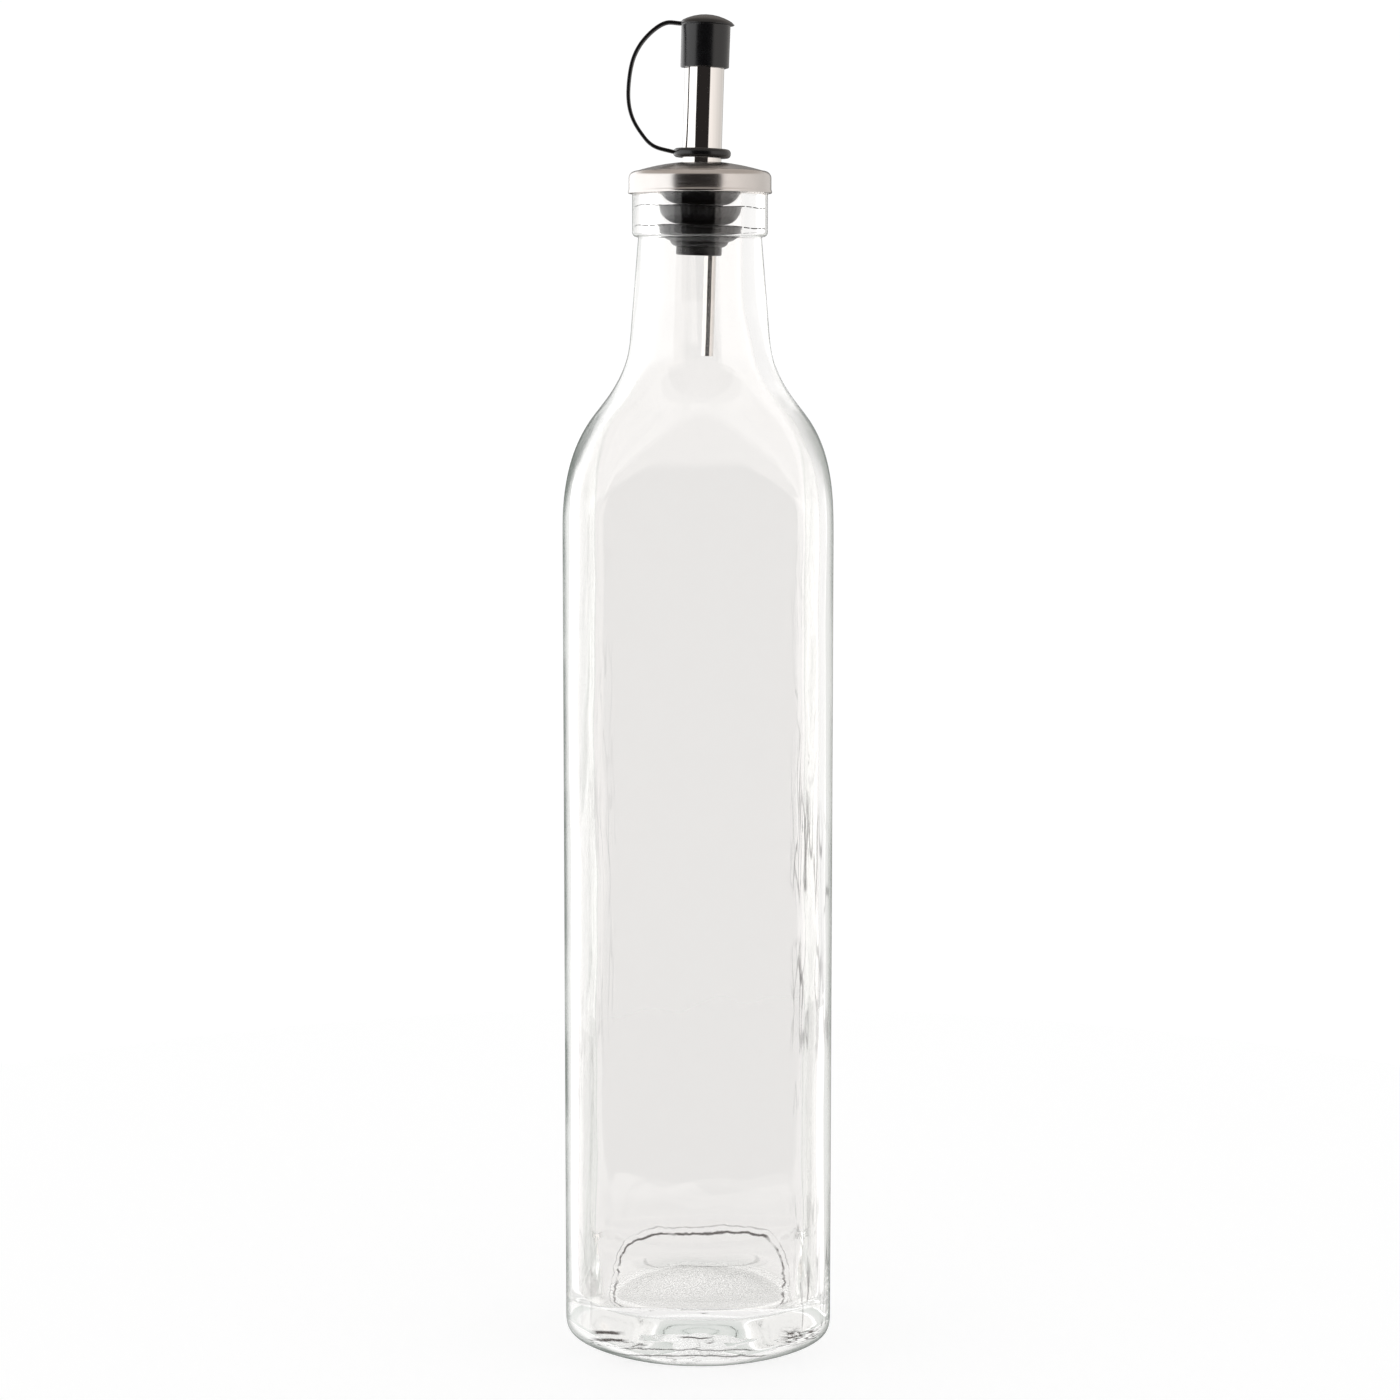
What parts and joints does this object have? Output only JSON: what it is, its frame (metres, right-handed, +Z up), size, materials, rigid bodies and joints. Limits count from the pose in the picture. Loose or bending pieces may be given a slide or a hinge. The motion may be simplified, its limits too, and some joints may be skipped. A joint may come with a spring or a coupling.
{
  "type": "glass oil bottle",
  "caption": "Square clear-glass bottle for cooking oil or vinegar, with a push-in steel pourer, rubber stopper and a tethered black dust cap.",
  "frame": {"origin": "centre of the base, on the plane that the bottle stands on", "axes": "+Z up the bottle's axis to the pourer, -Y out of the front panel, -X to the side where the cap's strap bows out"},
  "size_m": [0.06, 0.06, 0.3044],
  "materials": {
    "glass": "clear, polished",
    "satin_steel": "satin",
    "polished_steel": "polished",
    "black_rubber": "soft satin",
    "black_plastic": "soft satin"
  },
  "bodies": {
    "bottle": {"glass_bottle": "glass"},
    "pourer": {"stopper": "black_rubber", "collar": "satin_steel", "spout_tube": "polished_steel", "breather_tube": "polished_steel"},
    "ring": {"strap_ring": "black_plastic", "cap_strap": "black_plastic"},
    "cap": {"dust_cap": "black_plastic"}
  },
  "joints": [
    {"name": "stopper_pull", "type": "slide", "parent": "bottle", "child": "pourer", "axis": [0, 0, 1], "range_m": [0, 0.055]},
    {"name": "ring_turn", "type": "hinge", "parent": "pourer", "child": "ring", "pos_m": [0.00046, 0, 0.27359], "axis": [0.0314, 0, 0.9995], "continuous": true},
    {"name": "cap_pull", "type": "slide", "parent": "ring", "child": "cap", "axis": [0.0314, 0, 0.9995], "range_m": [0, 0.01], "deforming": ["cap_strap"]}
  ]
}
